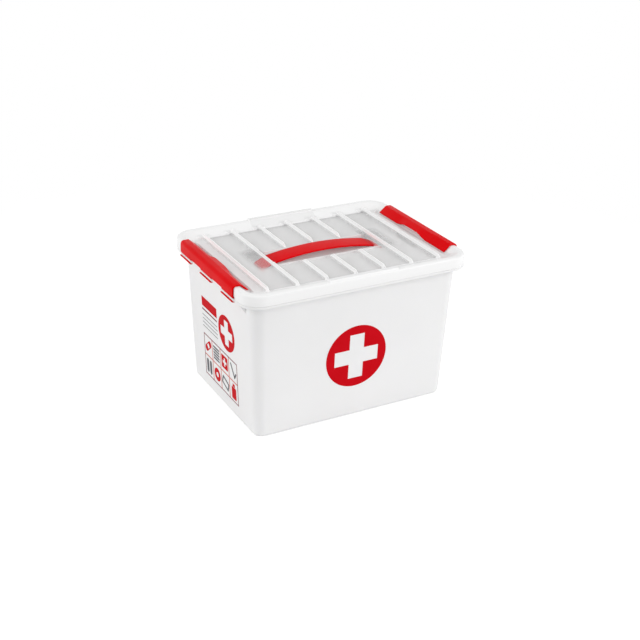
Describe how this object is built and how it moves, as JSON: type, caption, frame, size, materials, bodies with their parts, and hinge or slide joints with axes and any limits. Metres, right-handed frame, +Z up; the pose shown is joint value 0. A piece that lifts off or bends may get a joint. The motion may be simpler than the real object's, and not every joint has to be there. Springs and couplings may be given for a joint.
{
  "type": "first_aid_box",
  "caption": "First aid storage box with a white tub, frosted ribbed lid, red strap handle, red hinged end clips, lift-out tray and printed cross labels",
  "frame": {"origin": "middle of the base, on the surface that the box stands on", "axes": "+X along the long side towards the right clip, +Y away from the front wall with the large disc, +Z up"},
  "size_m": [0.408, 0.3, 0.2594],
  "materials": {
    "tub_white": "injection-moulded white polypropylene with a fine satin grain",
    "lid_frosted": "frosted, see-through polypropylene, satin",
    "strap_red": "red moulded plastic strap, smooth",
    "tray_white": "off-white polypropylene, satin",
    "clip_red": "red moulded polypropylene, smooth with soft highlights",
    "print_red": "red screen print on a thin label"
  },
  "bodies": {
    "tub_body": {"tub": "tub_white", "front_cross_disc": "print_red", "side_cross_disc": "print_red", "side_header_bar": "print_red", "side_pictogram_panel": "print_red"},
    "tray_body": {"insert_tray": "tray_white"},
    "lid_body": {"lid": "lid_frosted"},
    "handle_body": {"handle_strap": "strap_red"},
    "clip_right_body": {"clip_right": "clip_red"},
    "clip_left_body": {"clip_left": "clip_red"}
  },
  "joints": [
    {"name": "tray_lift", "type": "slide", "parent": "tub_body", "child": "tray_body", "axis": [0, 0, 1], "range_m": [0, 0.2]},
    {"name": "lid_lift", "type": "slide", "parent": "tray_body", "child": "lid_body", "axis": [0, 0, 1], "range_m": [0, 0.21]},
    {"name": "handle_raise", "type": "slide", "parent": "lid_body", "child": "handle_body", "axis": [0, 0, 1], "range_m": [0, 0.02], "deforming": ["handle_strap"]},
    {"name": "clip_right_hinge", "type": "hinge", "parent": "tub_body", "child": "clip_right_body", "pos_m": [0.2002, 0, 0.2363], "axis": [0, 1, 0], "range_deg": [0, 120]},
    {"name": "clip_left_hinge", "type": "hinge", "parent": "tub_body", "child": "clip_left_body", "pos_m": [-0.2002, 0, 0.2363], "axis": [0, -1, 0], "range_deg": [0, 120]}
  ]
}
